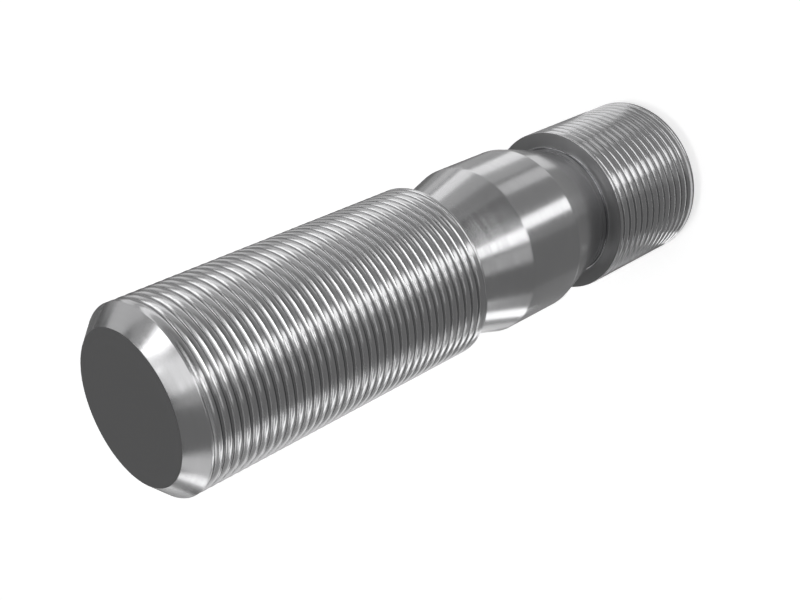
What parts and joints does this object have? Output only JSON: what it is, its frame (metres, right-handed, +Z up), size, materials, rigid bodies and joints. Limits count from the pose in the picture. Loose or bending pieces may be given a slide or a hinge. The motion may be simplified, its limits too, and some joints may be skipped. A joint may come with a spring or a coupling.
{
  "type": "double end stud",
  "caption": "Round steel stud with a long and a short fine-threaded end, and a plain collar between two tapered necks.",
  "frame": {"origin": "centre of the end face that the stud stands on, at its short threaded end", "axes": "+Z up along the stud's axis, from the short threaded end to the long one; the turned form is the same all round, so X and Y are free"},
  "size_m": [0.028, 0.028, 0.112],
  "materials": {
    "steel": "bright turned, with polished crests and fine turning marks"
  },
  "bodies": {
    "root": {"double_end_stud": "steel"}
  },
  "joints": []
}
